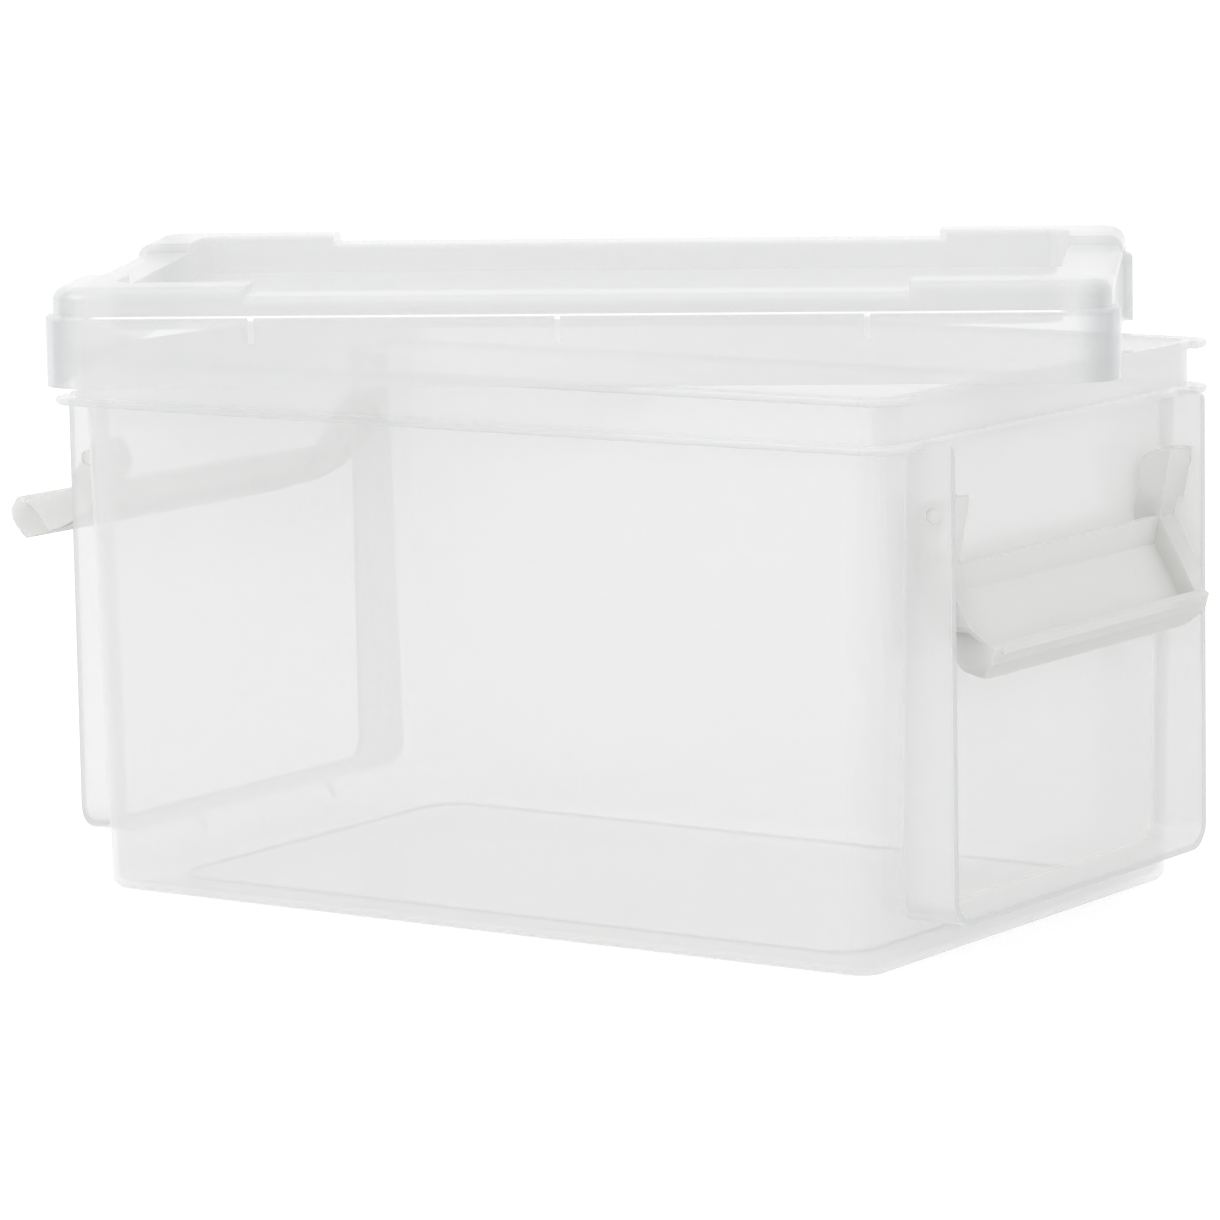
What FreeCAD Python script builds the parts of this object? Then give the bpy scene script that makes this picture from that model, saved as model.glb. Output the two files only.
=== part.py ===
import FreeCAD, Part
import math
import os

os.makedirs("parts", exist_ok=True)

# Case: outer size at the base, with walls that lean out towards the rim
base_length = 310.0
base_width = 194.0
case_height = 183.7
wall = 2.0
floor_thickness = 2.4
end_wall_lean = 3.8
long_wall_lean = 1.8
base_corner_radius = 10.0
base_edge_radius = 4.0
inner_edge_radius = 3.0

# Rim: an upright band with two thin flanges round it
rim_band_height = 17.5
rim_step_out = 4.5
rim_corner_radius = 9.0
flange_thickness = 2.4
flange_reach = 5.6
flange_tip_radius = 1.0
flange_corner_radius = 12.0
flange_end_relief = 3.0
flange_relief_margin = 9.0

# Floor: a shallow raised panel inside
floor_panel_inset = 17.0
floor_panel_rise = 1.4
floor_panel_corner_radius = 14.0

# Guards: an open U of thin wall at each end, which shelters the latch
guard_width = 162.0
guard_past_pin = 7.0
guard_wall = 2.0
guard_bottom_height = 15.3
guard_corner_radius = 9.0
guard_top_round = 3.0
gusset_thickness = 1.6
gusset_reach = 5.0
gusset_height = 11.0
gusset_spacing = 74.0

# Lid: skirt, raised frame round a sunken panel, and four corner blocks
lid_wall = 2.0
lid_clearance = 0.7
lid_skirt_height = 23.0
lid_corner_radius = 15.0
lid_edge_radius = 1.6
lid_end_recess = 3.0
lid_recess_margin = 7.0
frame_rise = 5.8
frame_setback = 2.4
frame_edge_radius = 4.0
frame_inner_radius = 2.0
block_rise = 3.2
block_length = 66.0
block_depth = 50.0
block_edge_radius = 5.0
block_inner_radius = 3.0
frame_band = 20.8
panel_drop = 4.0
panel_corner_radius = 8.0
mark_height = 9.0
mark_width = 2.0
mark_depth = 0.6
mark_place_shares = (0.2, 0.485, 0.77)
seat_gap = 0.3

# The lid lies turned on the open case
lid_turn_degrees = 28.28
lid_shift_along = 6.1
lid_shift_across = -18.7

# Latches: one at each end, on pins in the guard's two cheeks
hinge_drop = 20.7
heel_clearance = 0.47
pin_radius = 2.45
pin_clearance = 0.05
pin_end_setback = 0.6
ear_round = 5.6
ear_drop = 12.0
ear_gap = 0.4
ear_offset = 4.1
latch_beam_width = 10.5
latch_plate = 2.0
latch_side_wall = 1.8
lip_setback = 5.5
lip_shoulder = 6.0
lip_corner = 6.5
nose_round = 3.0
heel_round = 4.0
right_latch_degrees = 0.0
left_latch_degrees = 48.0

# Latch seen from the side as it hangs: distance out from the pin, and up
front_top = (3.4, 4.6)
front_kink = (-0.9, -17.5)
band_low = (-2.7, -26.5)
tray_low = (7.4, -44.4)
beam_low = (12.4, -41.2)
lip_tip = (15.0, -42.5)
nose_out = (13.6, -47.6)
nose_low = (8.6, -53.0)
nose_back = (2.4, -50.0)
heel_low = (-7.0, -31.0)
heel = (-10.6, -17.5)
ear_back = (-6.8, 4.6)

# One overrun serves all cuts, and one tolerance picks the edges at a height
overrun = 5.0
height_tolerance = 0.002

origin = FreeCAD.Vector(0, 0, 0)
along = FreeCAD.Vector(1, 0, 0)
across = FreeCAD.Vector(0, 1, 0)
upward = FreeCAD.Vector(0, 0, 1)
sides = (-1, 1)

half_case = base_length / 2
rim_bottom = case_height - rim_band_height
rim_inner_floor = rim_bottom + flange_thickness
top_length = base_length + 2 * end_wall_lean
top_width = base_width + 2 * long_wall_lean
band_length = top_length + 2 * rim_step_out
band_width = top_width
flange_length = band_length + 2 * flange_reach
flange_width = band_width + 2 * flange_reach
floor_panel_length = base_length - 2 * floor_panel_inset
floor_panel_width = base_width - 2 * floor_panel_inset
flange_relief_width = guard_width + 2 * flange_relief_margin
lid_length = flange_length + 2 * (lid_clearance + lid_wall)
lid_width = flange_width + 2 * (lid_clearance + lid_wall)
lid_recess_width = guard_width + 2 * lid_recess_margin
panel_length = lid_length - 2 * frame_band
panel_width = lid_width - 2 * frame_band
hinge_height = rim_bottom - hinge_drop
wall_at_heel = half_case + end_wall_lean * (hinge_height + heel[1]) / rim_bottom
hinge_from_centre = wall_at_heel + heel_clearance - heel[0]
guard_reach = hinge_from_centre + guard_past_pin
latch_width = guard_width - 2 * (guard_wall + ear_gap + ear_offset)
frame_length = lid_length - 2 * frame_setback
frame_width = lid_width - 2 * frame_setback
frame_corner_radius = lid_corner_radius - frame_setback
frame_top = lid_skirt_height + frame_rise
block_top = frame_top + block_rise
panel_top = lid_skirt_height - panel_drop


def ring(length, width, radius, height):
    """Return a closed rounded rectangle at one height."""
    x, y = length / 2, width / 2
    slant = radius * math.sqrt(1 / 2)
    edges = []
    corners = ((1, 1), (-1, 1), (-1, -1), (1, -1))
    for i, (sx, sy) in enumerate(corners):
        cx, cy = sx * (x - radius), sy * (y - radius)
        side_point = FreeCAD.Vector(sx * x, cy, height)
        long_point = FreeCAD.Vector(cx, sy * y, height)
        middle = FreeCAD.Vector(cx + sx * slant, cy + sy * slant, height)
        start, end = (side_point, long_point) if i % 2 == 0 else (long_point, side_point)
        edges.append(Part.Arc(start, middle, end).toShape())
        nx, ny = corners[(i + 1) % len(corners)]
        if i % 2 == 0:
            following = FreeCAD.Vector(nx * (x - radius), ny * y, height)
        else:
            following = FreeCAD.Vector(nx * x, ny * (y - radius), height)
        edges.append(Part.makeLine(end, following))
    return Part.Wire(edges)


def slab(length, width, radius, bottom, top):
    """Return an upright block with rounded corners."""
    face = Part.Face(ring(length, width, radius, bottom))
    return face.extrude(upward * (top - bottom))


def leaning_block(length, width, radius, bottom, top, end_lean, long_lean):
    """Return a block whose four walls lean out towards the top."""
    low = ring(length, width, radius, bottom)
    high = ring(length + 2 * end_lean, width + 2 * long_lean, radius, top)
    return Part.makeLoft([low, high], True, True)


def edges_at(shape, height):
    """Return the edges that lie flat at one height."""
    return [e for e in shape.Edges
            if abs(e.BoundBox.ZMin - height) < height_tolerance
            and abs(e.BoundBox.ZMax - height) < height_tolerance]


def rounded_at(shape, radius, *heights):
    """Round the edges that lie at the given heights."""
    edges = []
    for height in heights:
        edges += edges_at(shape, height)
    return shape.makeFillet(radius, edges)


def box(x_from, x_to, y_from, y_to, z_from, z_to):
    """Return a plain box between three pairs of limits."""
    corner = FreeCAD.Vector(x_from, y_from, z_from)
    return Part.makeBox(x_to - x_from, y_to - y_from, z_to - z_from, corner)


def mirrored(shape):
    """Return the same shape at the other end."""
    return shape.mirror(origin, along)


def rounded_outline(points):
    """Return a closed wire in the side plane, with a radius at each corner."""
    places = [FreeCAD.Vector(u, 0, v) for u, v, radius in points]
    count = len(points)
    starts, ends, middles = [], [], []
    for i, (u, v, radius) in enumerate(points):
        here = places[i]
        back = (places[i - 1] - here).normalize()
        on = (places[(i + 1) % count] - here).normalize()
        angle = back.getAngle(on)
        reach = radius / math.tan(angle / 2)
        bisector = (back + on).normalize()
        gap = radius / math.sin(angle / 2) - radius
        starts.append(here + back * reach)
        ends.append(here + on * reach)
        middles.append(here + bisector * gap)
    edges = []
    for i in range(count):
        if points[i][2] > 0:
            edges.append(Part.Arc(starts[i], middles[i], ends[i]).toShape())
        edges.append(Part.makeLine(ends[i], starts[(i + 1) % count]))
    return Part.Wire(edges)


def strip_outline(points, thickness):
    """Return a closed wire for a bent sheet, thickened on its right-hand side."""
    flat = [FreeCAD.Vector(u, 0, v) for u, v in points]
    normals = []
    for first, second in zip(flat, flat[1:]):
        run = (second - first).normalize()
        normals.append(FreeCAD.Vector(run.z, 0, -run.x))
    under = []
    for i, place in enumerate(flat):
        before = normals[max(i - 1, 0)]
        after = normals[min(i, len(normals) - 1)]
        mean = (before + after).normalize()
        under.append(place + mean * (thickness / mean.dot(before)))
    loop = flat + under[::-1]
    return Part.makePolygon(loop + loop[:1])


def spread(wire, y_from, y_to):
    """Sweep a side outline across, between two distances."""
    face = Part.Face(wire)
    face.translate(across * y_from)
    return face.extrude(across * (y_to - y_from))


def rim_flange(bottom):
    """Return one flange, rounded at its tip and relieved at the two ends."""
    plate = slab(flange_length, flange_width, flange_corner_radius, bottom, bottom + flange_thickness)
    plate = rounded_at(plate, flange_tip_radius, bottom, bottom + flange_thickness)
    for side in sides:
        inside = side * (flange_length / 2 - flange_end_relief)
        outside = side * (flange_length / 2 + overrun)
        notch = box(min(inside, outside), max(inside, outside), -flange_relief_width / 2,
                    flange_relief_width / 2, bottom - overrun, bottom + flange_thickness + overrun)
        plate = plate.cut(notch)
    return plate


def guard_outline(width, bottom, top, radius):
    """Return a U-shaped face, seen from the end of the case."""
    y = width / 2
    slant = radius * (1 - math.sqrt(1 / 2))
    left_top = FreeCAD.Vector(0, -y, top)
    left_low = FreeCAD.Vector(0, -y, bottom + radius)
    left_turn = FreeCAD.Vector(0, slant - y, bottom + slant)
    low_left = FreeCAD.Vector(0, radius - y, bottom)
    low_right = FreeCAD.Vector(0, y - radius, bottom)
    right_turn = FreeCAD.Vector(0, y - slant, bottom + slant)
    right_low = FreeCAD.Vector(0, y, bottom + radius)
    right_top = FreeCAD.Vector(0, y, top)
    edges = [Part.makeLine(left_top, left_low),
             Part.Arc(left_low, left_turn, low_left).toShape(),
             Part.makeLine(low_left, low_right),
             Part.Arc(low_right, right_turn, right_low).toShape(),
             Part.makeLine(right_low, right_top),
             Part.makeLine(right_top, left_top)]
    return Part.Face(Part.Wire(edges))


def end_guard():
    """Return the right-hand guard: two cheeks and a shelf, open outwards."""
    start = half_case - wall
    run = along * (guard_reach - start)
    outer = guard_outline(guard_width, guard_bottom_height, rim_inner_floor, guard_corner_radius)
    outer.translate(along * start)
    guard = outer.extrude(run)
    inner = guard_outline(guard_width - 2 * guard_wall, guard_bottom_height + guard_wall,
                          rim_inner_floor + overrun, guard_corner_radius - guard_wall)
    inner.translate(along * (half_case - wall - overrun))
    guard = guard.cut(inner.extrude(run + along * 2 * overrun))
    top_edge = [e for e in guard.Edges
                if e.BoundBox.XMin > guard_reach - wall / 2 and e.BoundBox.ZMin > rim_inner_floor - wall / 2]
    guard = guard.makeFillet(guard_top_round, top_edge)
    for side in sides:
        guard = guard.fuse(shelf_gusset(side * gusset_spacing / 2))
    return guard


def shelf_gusset(place):
    """Return one small web under the shelf of a guard."""
    top = guard_bottom_height + guard_wall / 2
    points = [FreeCAD.Vector(half_case - wall, 0, top),
              FreeCAD.Vector(half_case + gusset_reach, 0, top),
              FreeCAD.Vector(half_case - wall, 0, guard_bottom_height - gusset_height)]
    web = Part.Face(Part.makePolygon(points + points[:1]))
    web.translate(across * (place - gusset_thickness / 2))
    return web.extrude(across * gusset_thickness)


def case_shell():
    """Return the outside of the case as one full block."""
    block = leaning_block(base_length, base_width, base_corner_radius, 0, rim_bottom,
                          end_wall_lean, long_wall_lean)
    block = rounded_at(block, base_edge_radius, 0)
    band = slab(band_length, band_width, rim_corner_radius, rim_bottom, case_height)
    block = block.fuse(band)
    block = block.fuse(rim_flange(rim_bottom))
    block = block.fuse(rim_flange(case_height - flange_thickness))
    guard = end_guard()
    block = block.fuse(guard)
    return block.fuse(mirrored(guard))


def case_hollow():
    """Return the space inside the case, with the wider step at the rim."""
    depth = rim_bottom - floor_thickness
    share = depth / rim_bottom
    space = leaning_block(base_length - 2 * wall, base_width - 2 * wall, base_corner_radius - wall,
                          floor_thickness, rim_bottom, end_wall_lean * share, long_wall_lean * share)
    space = rounded_at(space, inner_edge_radius, floor_thickness)
    throat = slab(top_length - 2 * wall, top_width - 2 * wall, base_corner_radius - wall,
                  rim_bottom, rim_inner_floor)
    mouth = slab(band_length - 2 * wall, band_width - 2 * wall, rim_corner_radius - wall,
                 rim_inner_floor, case_height + overrun)
    return space.fuse(throat).fuse(mouth)


def case_body():
    """Return the open case with its rim, guards and pin holes."""
    body = case_shell().cut(case_hollow())
    raised = slab(floor_panel_length, floor_panel_width, floor_panel_corner_radius,
                  floor_thickness / 2, floor_thickness + floor_panel_rise)
    body = body.fuse(raised)
    for side in sides:
        start = FreeCAD.Vector(side * hinge_from_centre, -guard_width / 2 - overrun, hinge_height)
        bore = Part.makeCylinder(pin_radius + pin_clearance, guard_width + 2 * overrun, start, across)
        body = body.cut(bore)
    return body.removeSplitter()


def corner_blocks(length, width, radius, bottom, top, inset, edge_radius):
    """Return four raised corner blocks, cut from one rounded plate."""
    plate = slab(length, width, radius, bottom, top)
    plate = rounded_at(plate, edge_radius, top)
    blocks = None
    for sx in sides:
        for sy in sides:
            x_in, x_out = sx * (lid_length / 2 - block_length + inset), sx * lid_length / 2
            y_in, y_out = sy * (lid_width / 2 - block_depth + inset), sy * lid_width / 2
            area = box(min(x_in, x_out), max(x_in, x_out), min(y_in, y_out), max(y_in, y_out),
                       bottom, top + overrun)
            piece = plate.common(area)
            blocks = piece if blocks is None else blocks.fuse(piece)
    return blocks


def lid_outside():
    """Return the lid as a full block with its sunken panel."""
    skirt = slab(lid_length, lid_width, lid_corner_radius, 0, lid_skirt_height)
    skirt = rounded_at(skirt, lid_edge_radius, lid_skirt_height)
    frame = slab(frame_length, frame_width, frame_corner_radius, lid_wall, frame_top)
    frame = rounded_at(frame, frame_edge_radius, frame_top)
    block = skirt.fuse(frame)
    block = block.fuse(corner_blocks(frame_length, frame_width, frame_corner_radius, lid_wall,
                                     block_top, 0, block_edge_radius))
    block = block.cut(slab(panel_length, panel_width, panel_corner_radius, panel_top,
                           block_top + overrun))
    for side in sides:
        block = block.cut(end_recess(side, 0))
    return block


def end_recess(side, inset):
    """Return the shallow step that is cut from one end of the skirt."""
    inside = side * (lid_length / 2 - lid_end_recess - inset)
    outside = side * (lid_length / 2 + overrun)
    half_recess = lid_recess_width / 2 + inset
    return box(min(inside, outside), max(inside, outside), -half_recess, half_recess,
               -overrun, lid_skirt_height + frame_rise / 2)


def lid_hollow():
    """Return the space under the lid, one wall inside its outside."""
    inset = 2 * lid_wall
    space = slab(lid_length - inset, lid_width - inset, lid_corner_radius - lid_wall,
                 -overrun, lid_skirt_height - lid_wall)
    for side in sides:
        space = space.cut(end_recess(side, lid_wall))
    channel = slab(frame_length - inset, frame_width - inset, frame_corner_radius - lid_wall,
                   0, frame_top - lid_wall)
    space = space.fuse(rounded_at(channel, frame_inner_radius, frame_top - lid_wall))
    space = space.fuse(corner_blocks(frame_length - inset, frame_width - inset,
                                     frame_corner_radius - lid_wall, 0, block_top - lid_wall,
                                     lid_wall, block_inner_radius))
    pan = slab(panel_length + inset, panel_width + inset, panel_corner_radius + lid_wall,
               panel_top - lid_wall, block_top + overrun)
    return space.cut(pan)


def lid_marks():
    """Return the short upright grooves under the top edge of the skirt."""
    grooves = None
    for share in mark_place_shares:
        for side in sides:
            place = (share - 1 / 2) * lid_length
            inside = side * (lid_width / 2 - mark_depth)
            outside = side * (lid_width / 2 + overrun)
            groove = box(place - mark_width / 2, place + mark_width / 2, min(inside, outside),
                         max(inside, outside), lid_skirt_height - mark_height,
                         lid_skirt_height + overrun)
            grooves = groove if grooves is None else grooves.fuse(groove)
    return grooves


def lid():
    """Return the lid where it lies, turned across the open rim."""
    shape = lid_outside().cut(lid_hollow()).cut(lid_marks()).removeSplitter()
    shape.rotate(origin, upward, lid_turn_degrees)
    shape.translate(FreeCAD.Vector(lid_shift_along, lid_shift_across, case_height + seat_gap))
    return shape


def latch_side():
    """Return the outline of a latch's side wall."""
    corners = [front_top + (0,), front_kink + (heel_round,), beam_low + (0,), lip_tip + (0,),
               nose_out + (nose_round,), nose_low + (nose_round,), nose_back + (nose_round,),
               heel_low + (heel_round,), heel + (heel_round,), ear_back + (ear_round,)]
    return rounded_outline(corners)


def latch_ear(side):
    """Return one ear block with its pin, at one end of the hinge."""
    inner = latch_width / 2 - latch_beam_width
    face = guard_width / 2 - guard_wall - ear_gap
    ear = spread(latch_side(), inner, face)
    ear = ear.common(box(heel[0] - overrun, lip_tip[0], inner, face, -ear_drop, front_top[1]))
    reach = guard_width / 2 - pin_end_setback - inner
    ear = ear.fuse(Part.makeCylinder(pin_radius, reach, across * inner, across))
    return ear if side > 0 else ear.mirror(origin, across)


def lip_trim(side):
    """Return the cut that narrows the lip and rounds its corner, at one end of the latch."""
    edge = latch_width / 2
    lip_edge = edge - lip_setback
    clear = edge + overrun
    shoulder = beam_low[1] + lip_shoulder
    low = nose_low[1]
    wire = rounded_outline([(clear, shoulder, 0), (edge, shoulder, 0), (lip_edge, beam_low[1], 0),
                            (lip_edge, low, lip_corner), (lip_edge - lip_corner - overrun, low, 0),
                            (lip_edge - lip_corner - overrun, low - overrun, 0),
                            (clear, low - overrun, 0)])
    wire.rotate(origin, upward, 90)
    wire.translate(along * (heel[0] - overrun))
    trim = Part.Face(wire).extrude(along * (lip_tip[0] - heel[0] + 2 * overrun))
    return trim if side > 0 else trim.mirror(origin, across)


def latch():
    """Return one latch as it hangs, with its hinge axis through the origin."""
    edge = latch_width / 2
    inner = edge - latch_beam_width
    lip_edge = edge - lip_setback
    tray = strip_outline([front_kink, band_low, tray_low, lip_tip], latch_plate)
    nose = strip_outline([beam_low, lip_tip, nose_out, nose_low, nose_back], latch_plate)
    beam = strip_outline([front_top, front_kink, beam_low, lip_tip], latch_plate)
    shape = spread(tray, -inner, inner).fuse(spread(nose, -edge, edge))
    walls = ((edge - latch_side_wall, edge), (lip_edge - latch_side_wall, lip_edge),
             (inner, inner + latch_side_wall))
    for side in sides:
        for near, far in walls:
            low, high = min(side * near, side * far), max(side * near, side * far)
            shape = shape.fuse(spread(latch_side(), low, high))
        shape = shape.fuse(spread(beam, min(side * inner, side * edge), max(side * inner, side * edge)))
        shape = shape.fuse(latch_ear(side))
        shape = shape.cut(lip_trim(side))
    return shape.removeSplitter()


def placed_latch(degrees):
    """Return the right-hand latch, swung out from where it hangs."""
    shape = latch()
    shape.rotate(origin, -across, degrees)
    shape.translate(FreeCAD.Vector(hinge_from_centre, 0, hinge_height))
    return shape


pieces = {
    "case_body": case_body(),
    "lid": lid(),
    "left_latch": mirrored(placed_latch(left_latch_degrees)),
    "right_latch": placed_latch(right_latch_degrees),
}

for name, shape in pieces.items():
    print(name, shape.ShapeType, len(shape.Solids), shape.isValid(), shape.BoundBox)
    shape = shape.Solids[0] if len(shape.Solids) == 1 else shape
    shape.exportStep(f"parts/{name}.step")
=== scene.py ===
# %% [markdown]
# # A clear photo keeper case
# The object is a clear plastic case that stands open. Its lid lies turned on the rim, and a
# milky latch hangs at each end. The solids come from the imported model, and this script gives
# them their plastics, then sets the floor, the light and the camera round them.

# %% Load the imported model
import math

import bpy
from mathutils import Matrix, Vector


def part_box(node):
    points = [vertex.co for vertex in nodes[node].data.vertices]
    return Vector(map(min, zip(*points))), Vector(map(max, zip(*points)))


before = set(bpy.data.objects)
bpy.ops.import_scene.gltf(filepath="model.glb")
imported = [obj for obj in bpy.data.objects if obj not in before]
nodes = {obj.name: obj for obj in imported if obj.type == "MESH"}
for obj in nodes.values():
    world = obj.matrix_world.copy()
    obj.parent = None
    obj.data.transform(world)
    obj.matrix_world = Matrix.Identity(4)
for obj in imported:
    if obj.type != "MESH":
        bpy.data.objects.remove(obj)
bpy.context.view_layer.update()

scene = bpy.context.scene
for name in sorted(nodes):
    low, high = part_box(name)
    print(name, "spans", [round(1000 * (b - a)) for a, b in zip(low, high)], "mm")


# %% [markdown]
# ## A small language for materials
# A material in Blender is a graph of nodes. Drawing it by hand is slow, so one class wraps a
# socket and lets Python's own signs make the Math nodes. A second class adds any other node by
# its type, with its settings first and its inputs after. Both read like the sum they make. Two
# short functions split a place into its parts and blend two colours.

# %% Wrap a socket so that sums become nodes
class Shade:
    """One output socket in a material's graph."""

    def __init__(self, graph, socket):
        self.graph = graph
        self.socket = socket

    def math(self, operation, first, second):
        node = self.graph.add("ShaderNodeMath", {"operation": operation}, {0: first, 1: second})
        return Shade(self.graph, node.outputs[0])

    def __add__(self, other):
        return self.math("ADD", self, other)

    __radd__ = __add__

    def __mul__(self, other):
        return self.math("MULTIPLY", self, other)

    __rmul__ = __mul__

    def __sub__(self, other):
        return self.math("SUBTRACT", self, other)

    def __rsub__(self, other):
        return self.math("SUBTRACT", other, self)

    def __pow__(self, other):
        return self.math("POWER", self, other)

    def __abs__(self):
        return self.math("ABSOLUTE", self, 0.0)

    def rise(self, low, high):
        """Return 0 below low, 1 above high and a soft step between."""
        return self.graph.value("ShaderNodeMapRange", 0, {"interpolation_type": "SMOOTHSTEP"},
                                {0: self, 1: low, 2: high})

    def band(self, low, high, soft):
        """Return 1 between two limits, with soft edges."""
        return self.rise(low - soft, low + soft) * (1.0 - self.rise(high - soft, high + soft))


# %% Add nodes by type, settings and inputs
class Graph:
    """A node tree that starts empty, with an output ready for its last shader."""

    def __init__(self, tree, output_type):
        self.tree = tree
        tree.nodes.clear()
        self.output = tree.nodes.new(output_type)

    def add(self, kind, settings=None, inputs=None):
        node = self.tree.nodes.new(kind)
        for key, value in (settings or {}).items():
            setattr(node, key, value)
        for key, value in (inputs or {}).items():
            self.put(node.inputs[key], value)
        return node

    def put(self, socket, value):
        if isinstance(value, Shade):
            self.tree.links.new(value.socket, socket)
        elif isinstance(value, bpy.types.NodeSocket):
            self.tree.links.new(value, socket)
        else:
            socket.default_value = value

    def value(self, kind, output, settings=None, inputs=None):
        return Shade(self, self.add(kind, settings, inputs).outputs[output])

    def finish(self, shader):
        self.tree.links.new(shader.outputs[0], self.output.inputs[0])


def new_material(title):
    """Return an empty material and its graph."""
    material = bpy.data.materials.new(title)
    material.use_nodes = True
    return material, Graph(material.node_tree, "ShaderNodeOutputMaterial")


def axes(graph, place):
    """Return the three parts of a place, in metres."""
    split = graph.add("ShaderNodeSeparateXYZ", None, {0: place})
    return [Shade(graph, part) for part in split.outputs]


def blend(graph, share, first, second):
    """Return the colour socket of a mix that shows more of the second as the share grows."""
    mix = graph.add("ShaderNodeMix", {"data_type": "RGBA"}, {0: share, 6: first, 7: second})
    return mix.outputs[2]


print("the material helpers are ready")


# %% [markdown]
# ## Clear moulded plastic
# The case and the lid are moulded in a clear plastic with a faint milkiness. Real refraction
# would be truest, but thin walls bend light very little, and many layers of it come out dark
# and noisy. So a pale, milky skin is made mostly see-through, and a sharp gloss is mixed over
# it, weak face on and strong at a glancing angle, as Fresnel's law has it. Soft clouds vary
# the haze, and long ripples bend the highlights as a moulded wall does.
#
# A milky plastic passes most of its light on, and a skin that is only see-through would lose
# that light. So the shadow rays meet a thinner skin. The skin also carries a painted glow, a
# small share of its own colour given off as light though it is no lamp, which evens its tone.

# %% Set how the clear plastic passes light on, and its painted glow
haze_change = 0.03
cloud_scale, ripple_scale = 14.0, 28.0
forward_share = 0.7
# painted glow: the skin gives off this share of its colour as light, though it is no lamp
painted_glow = 0.12
print("a shadow ray meets", round(100 * (1 - forward_share)), "% of the haze")

# %% Give a clear plastic its haze, gloss, ripples, painted glow and painted light and shade
def clear_plastic(title, tint, face_alpha, edge_alpha, find_marks, shade_look, highlight_and_shade_look):
    """Return a clear plastic. Each look is a tint and the haze that its marks add, as painted shade
    or a painted highlight.
    """
    material, graph = new_material(title)
    place = graph.value("ShaderNodeTexCoord", "Object")
    facing = graph.value("ShaderNodeLayerWeight", "Facing", None, {"Blend": 0.5})
    shadow_ray = graph.value("ShaderNodeLightPath", "Is Shadow Ray")
    clouds = graph.value("ShaderNodeTexNoise", "Fac", None, {
        "Vector": place, "Scale": cloud_scale, "Detail": 3.0, "Roughness": 0.5})
    ripples = graph.value("ShaderNodeTexNoise", "Fac", None, {
        "Vector": place, "Scale": ripple_scale, "Detail": 1.5})
    painted_shade, highlight_and_shade_lines = find_marks(graph, place)
    shade_tint, shade_haze = shade_look
    highlight_and_shade_tint, highlight_and_shade_haze = highlight_and_shade_look

    haze = face_alpha + haze_change * (clouds - 0.5)
    haze = haze + (edge_alpha - face_alpha) * facing ** 4.0
    # the marks' painted shade and painted highlights add haze here, and tint the colour below
    haze = haze + highlight_and_shade_haze * highlight_and_shade_lines + shade_haze * painted_shade
    alpha = haze * (1.0 - forward_share * shadow_ray)
    colour = blend(graph, painted_shade, (*tint, 1.0), (*shade_tint, 1.0))
    colour = blend(graph, highlight_and_shade_lines, colour, (*highlight_and_shade_tint, 1.0))

    bump = graph.add("ShaderNodeBump", None, {
        "Strength": 0.01, "Distance": 0.0006, "Height": ripples})
    # the skin's emission is the painted glow, which lifts and evens its tone
    skin = graph.add("ShaderNodeBsdfPrincipled", None, {
        "Base Color": colour, "Roughness": 0.25 + 0.1 * clouds, "IOR": 1.3,
        "Alpha": alpha, "Normal": bump.outputs[0],
        "Emission Color": colour, "Emission Strength": painted_glow})
    gloss = graph.add("ShaderNodeBsdfAnisotropic", None, {
        "Color": (1.0, 1.0, 1.0, 1.0), "Roughness": 0.06, "Normal": bump.outputs[0]})
    fresnel = 0.03 + 0.40 * facing ** 5.0
    graph.finish(graph.add("ShaderNodeMixShader", None, {
        0: fresnel, 1: skin.outputs[0], 2: gloss.outputs[0]}))
    print(title, "is", round(100 * (1 - face_alpha)), "% clear seen face on")
    return material


# %% [markdown]
# ## Painted shade on the case's cheeks and edges
# Clear plastic shows mostly by its edges. The cheeks of the guards stand free of the walls and
# get painted shade: more haze and a slightly greyer tint. Their own edges, the tips of the rim's
# flanges and the step round the floor's panel get painted shade as darker strokes. Small meshes
# could mark these places, but masks that are worked out from the place on the case need no new
# shape and turn with it.

# %% Find where the case gets painted shade
# Each pair is the reach of a mask or of its soft start, in metres from the case's middle or up
cheek = (0.157, 0.158)
guard_edge = (0.1752, 0.1757)
flange_tip = (0.1035, 0.104)
panel_end = (0.1385, 0.1395)
panel_side = (0.0805, 0.0815)
panel_step = (0.0026, 0.0037)
guard_shade, tip_shade = 0.6, 0.45


def case_marks(graph, place):
    """Return the guards' cheeks, and then the edges, the tips and the step, all for painted shade.
    """
    x, y, z = axes(graph, place)
    on_panel = (1.0 - abs(x).rise(*panel_end)) * (1.0 - abs(y).rise(*panel_side))
    step = z.band(*panel_step, 0.0001) * on_panel
    edges = guard_shade * abs(x).rise(*guard_edge) + tip_shade * abs(y).rise(*flange_tip)
    highlight_and_shade_lines = graph.value("ShaderNodeClamp", 0, None, {"Value": edges + step})
    return abs(x).rise(*cheek), highlight_and_shade_lines


# the greyer cheeks and the darker edge strokes are painted shade
case_plastic = clear_plastic(
    "clear_case_plastic", (0.81, 0.813, 0.807), 0.34, 0.44, case_marks,
    shade_look=((0.795, 0.80, 0.795), 0.14), highlight_and_shade_look=((0.60, 0.615, 0.63), 0.35))

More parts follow.
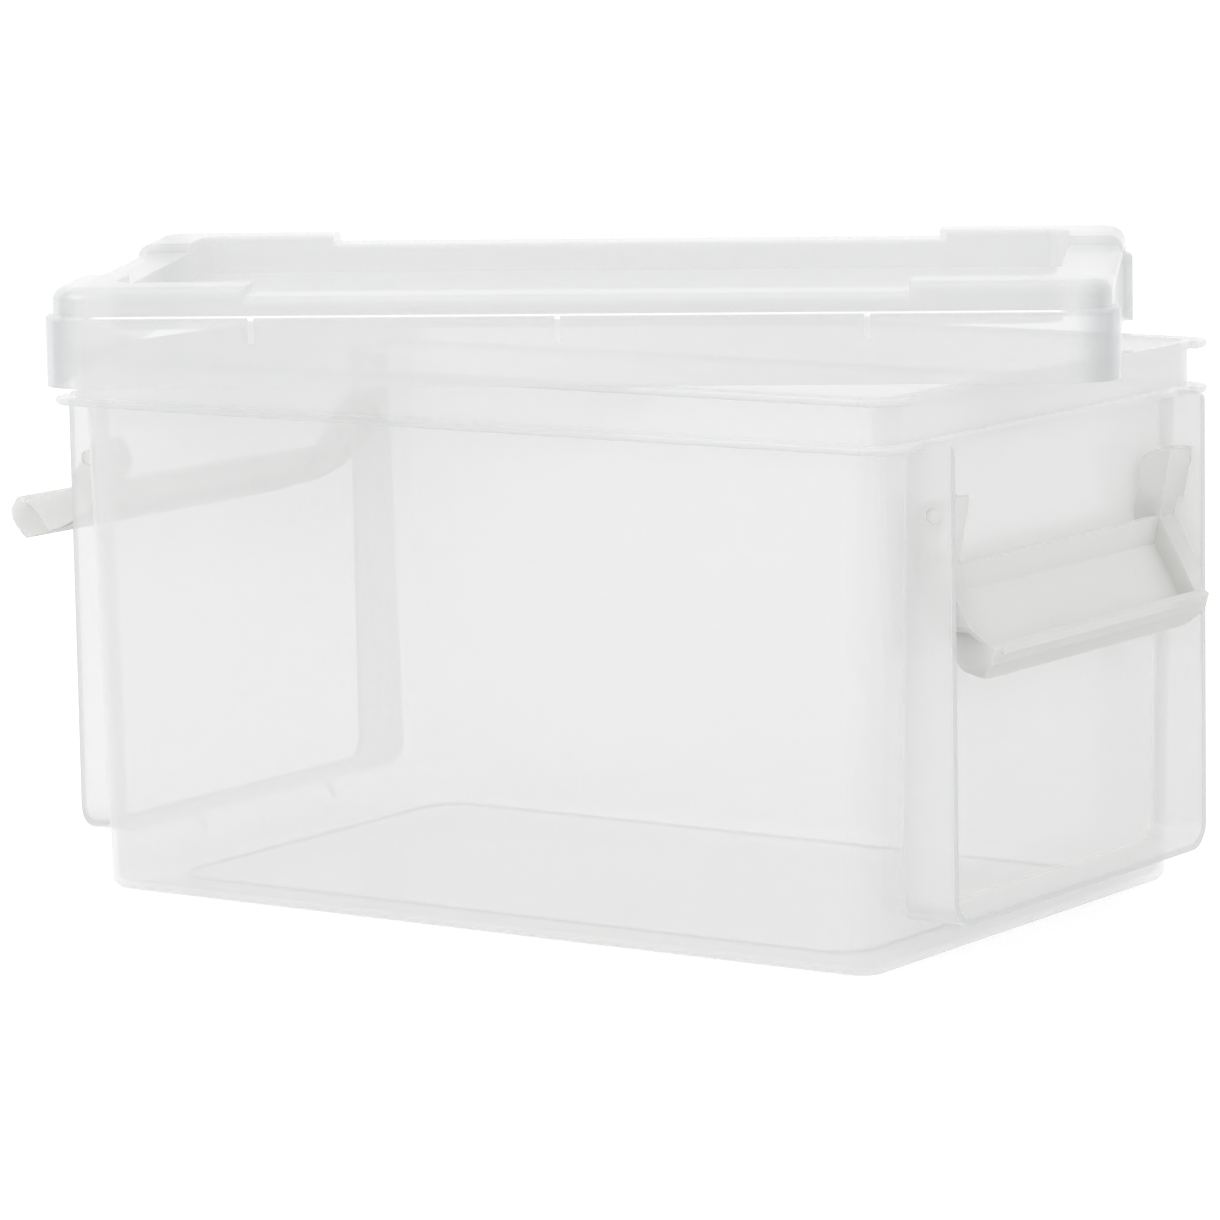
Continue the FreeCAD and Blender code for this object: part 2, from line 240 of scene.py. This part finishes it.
# %% [markdown]
# ## The lid's painted highlight and its shaded corners
# A painted highlight, a white line, runs along the top of the lid's front, and three short marks
# hang from it, whitened more faintly. The four rounded corners get painted shade: a greyer tint
# and more haze. The lid lies turned on the case, so its masks are worked out along the lid and
# across it.

# %% Find the lid's painted highlight and its shaded corners
# Each pair is the reach of a mask or of its soft start, in metres along the lid, across it,
# up, or in under its skin
lid_turn = math.radians(28.28)
lid_middle = (0.0061, -0.0187)
lid_half_width = 0.1071
under_skin = (0.0003, 0.001)
skirt_height = (0.19, 0.2072)
highlight_start = (0.205, 0.2056)
straight_part = (0.152, 0.156)
corner_end = (0.156, 0.168)
corner_side = (0.0871, 0.1011)
mark_highlight_share = 0.35


def lid_marks(graph, place):
    """Return the corners' painted shade, and then the front edge's painted highlight with the
    fainter marks under it.
    """
    x, y, z = axes(graph, place)
    x, y = x - lid_middle[0], y - lid_middle[1]
    along = x * math.cos(lid_turn) + y * math.sin(lid_turn)
    across = x * math.sin(lid_turn) - y * math.cos(lid_turn)
    # the front mask is a painted highlight along the top of the lid's front
    front = (lid_half_width - across).band(*under_skin, 0.0002)
    front = front * z.band(*skirt_height, 0.0002) * (1.0 - abs(along).rise(*straight_part))
    strength = mark_highlight_share + (1.0 - mark_highlight_share) * z.rise(*highlight_start)
    return abs(along).rise(*corner_end) * abs(across).rise(*corner_side), front * strength


# the greyer corners are painted shade, and the white front line is a painted highlight
lid_plastic = clear_plastic(
    "clear_lid_plastic", (0.775, 0.78, 0.778), 0.34, 0.54, lid_marks,
    shade_look=((0.64, 0.65, 0.66), 0.30), highlight_and_shade_look=((1.0, 1.0, 1.0), 0.6))


# %% [markdown]
# ## Milky latch plastic
# The latches are moulded in a softer, milky plastic that bends without cracking. It lets a
# little light through, so it is given a slight see-through share and light that scatters
# under the skin. The sheen is satin, with a fine grain from the mould.

# %% Give the latches a milky, satin plastic
def milky_plastic(title, tint):
    """Return a milky plastic with a fine grain, a little see-through."""
    material, graph = new_material(title)
    place = graph.value("ShaderNodeTexCoord", "Object")
    grain = graph.value("ShaderNodeTexNoise", "Fac", None, {
        "Vector": place, "Scale": 900.0, "Detail": 2.0})
    clouds = graph.value("ShaderNodeTexNoise", "Fac", None, {
        "Vector": place, "Scale": 30.0, "Detail": 2.0})
    pale_tint = [min(1.0, 1.04 * part) for part in tint]
    bump = graph.add("ShaderNodeBump", None, {
        "Strength": 0.15, "Distance": 0.0002, "Height": grain})
    graph.finish(graph.add("ShaderNodeBsdfPrincipled", None, {
        "Base Color": blend(graph, clouds, (*tint, 1.0), (*pale_tint, 1.0)),
        "Roughness": 0.32 + 0.1 * clouds, "IOR": 1.5,
        "Subsurface Weight": 0.35, "Subsurface Scale": 0.006,
        "Subsurface Radius": (1.0, 1.0, 1.0), "Alpha": 0.70,
        "Normal": bump.outputs[0]}))
    print(title, "made")
    return material


latch_plastic = milky_plastic("milky_latch_plastic", (0.97, 0.97, 0.945))

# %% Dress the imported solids
finishes = {"case_body": case_plastic, "lid": lid_plastic,
            "left_latch": latch_plastic, "right_latch": latch_plastic}
for name, material in finishes.items():
    for slot in nodes[name].material_slots:
        slot.material = material
    print(name, "takes", material.name)


# %% [markdown]
# ## A white room
# The photograph's ground is plain white. The floor is pale and wide, so that it runs out of
# the picture. A ray that comes from the camera, or from a glossy or clear surface, finds a
# little extra glow in it, which lifts it to white and still keeps the shadow.

# %% Lay the floor
def seen_rays(graph):
    """Return 1 for the rays that show the ground, and 0 for the rays that carry light."""
    path = graph.add("ShaderNodeLightPath")
    seen = Shade(graph, path.outputs["Is Camera Ray"]) + Shade(graph, path.outputs["Is Glossy Ray"])
    seen = seen + Shade(graph, path.outputs["Is Transmission Ray"])
    return graph.value("ShaderNodeClamp", 0, None, {"Value": seen})


floor_grey, floor_glow = 0.78, 0.45
floor_width, floor_drop = 60.0, 0.0004
floor_material, graph = new_material("pale_floor")
plain = graph.add("ShaderNodeBsdfDiffuse", None, {"Color": (*[floor_grey] * 3, 1.0)})
glow = graph.add("ShaderNodeEmission", None, {
    "Color": (1.0, 1.0, 1.0, 1.0), "Strength": floor_glow})
lit = graph.add("ShaderNodeAddShader", None, {0: plain.outputs[0], 1: glow.outputs[0]})
floor_mix = graph.add("ShaderNodeMixShader", None, {
    0: seen_rays(graph), 1: plain.outputs[0], 2: lit.outputs[0]})
graph.finish(floor_mix)

bpy.ops.mesh.primitive_plane_add(size=floor_width, location=(0.0, 0.0, -floor_drop))
floor = bpy.context.object
floor.name = "floor"
floor.data.materials.append(floor_material)
print("the floor is", floor.dimensions.x, "m wide")

# %% Fill the room with soft white
world = bpy.data.worlds.new("white_room")
world.use_nodes = True
scene.world = world
graph = Graph(world.node_tree, "ShaderNodeOutputWorld")
room_light = 0.80
strength = room_light + (1.0 - room_light) * seen_rays(graph)
graph.finish(graph.add("ShaderNodeBackground", None, {
    "Color": (1.0, 1.0, 1.0, 1.0), "Strength": strength}))
print("the room's light is", room_light)


# %% [markdown]
# ## Soft lamps
# Two wide lamps stand over the left shoulder and at the right. They are weak next to the
# room, and are there for the long highlights on the rims and on the lid's front edge.

# %% Hang the lamps
def soft_lamp(title, place, target, size, power):
    """Hang a wide lamp at a place and turn it to its target."""
    data = bpy.data.lights.new(title, "AREA")
    data.shape = "RECTANGLE"
    data.size, data.size_y = size
    data.energy = power
    lamp = bpy.data.objects.new(title, data)
    scene.collection.objects.link(lamp)
    lamp.location = place
    toward = Vector(target) - Vector(place)
    lamp.rotation_euler = toward.to_track_quat("-Z", "Y").to_euler()
    print(title, "stands", round(toward.length, 2), "m away")


soft_lamp("key_lamp", (-0.7, -1.5, 1.5), (0.0, 0.0, 0.1), (1.4, 0.9), 9.0)
soft_lamp("side_lamp", (1.6, 0.3, 1.0), (0.1, 0.0, 0.1), (0.9, 0.9), 1.6)


# %% [markdown]
# ## The camera
# The photograph was taken from beyond the right front corner, a little above the lid, with a
# long lens. The numbers come from matching the case's straight edges in the picture.

# %% Place the camera
def look(yaw, pitch, roll):
    """Return the camera's turn: yaw right of straight on, pitch down, roll clockwise."""
    level = Vector((-math.sin(yaw), math.cos(yaw), 0.0))
    ahead = math.cos(pitch) * level - math.sin(pitch) * Vector((0.0, 0.0, 1.0))
    right = Vector((math.cos(yaw), math.sin(yaw), 0.0))
    down = ahead.cross(right)
    x_axis = math.cos(roll) * right + math.sin(roll) * down
    y_axis = math.sin(roll) * right - math.cos(roll) * down
    turn = Matrix((x_axis, y_axis, -ahead)).transposed()
    return turn.to_4x4()


camera_place = (1.1340, -1.6627, 0.3924)
camera_turn = look(yaw=0.60215, pitch=0.14725, roll=0.01814)
camera_data = bpy.data.cameras.new("camera")
camera_data.sensor_width = 36.0
camera_data.lens = 177.46
camera_data.clip_end = 200.0
camera = bpy.data.objects.new("camera", camera_data)
scene.collection.objects.link(camera)
camera.matrix_world = Matrix.Translation(camera_place) @ camera_turn
scene.camera = camera
print("the camera stands", round(camera.location.length, 2), "m from the case's middle")


# %% [markdown]
# ## The picture's settings
# A clear case puts dozens of skins in the way of one ray, and a ray that runs out of layers
# turns black. So more layers are allowed than Blender gives at first. Colours are shown as
# they are, with the Standard view.

# %% Set the view and the layers
scene.view_settings.view_transform = "Standard"
scene.cycles.transparent_max_bounces = 64
print("layers allowed:", scene.cycles.transparent_max_bounces)
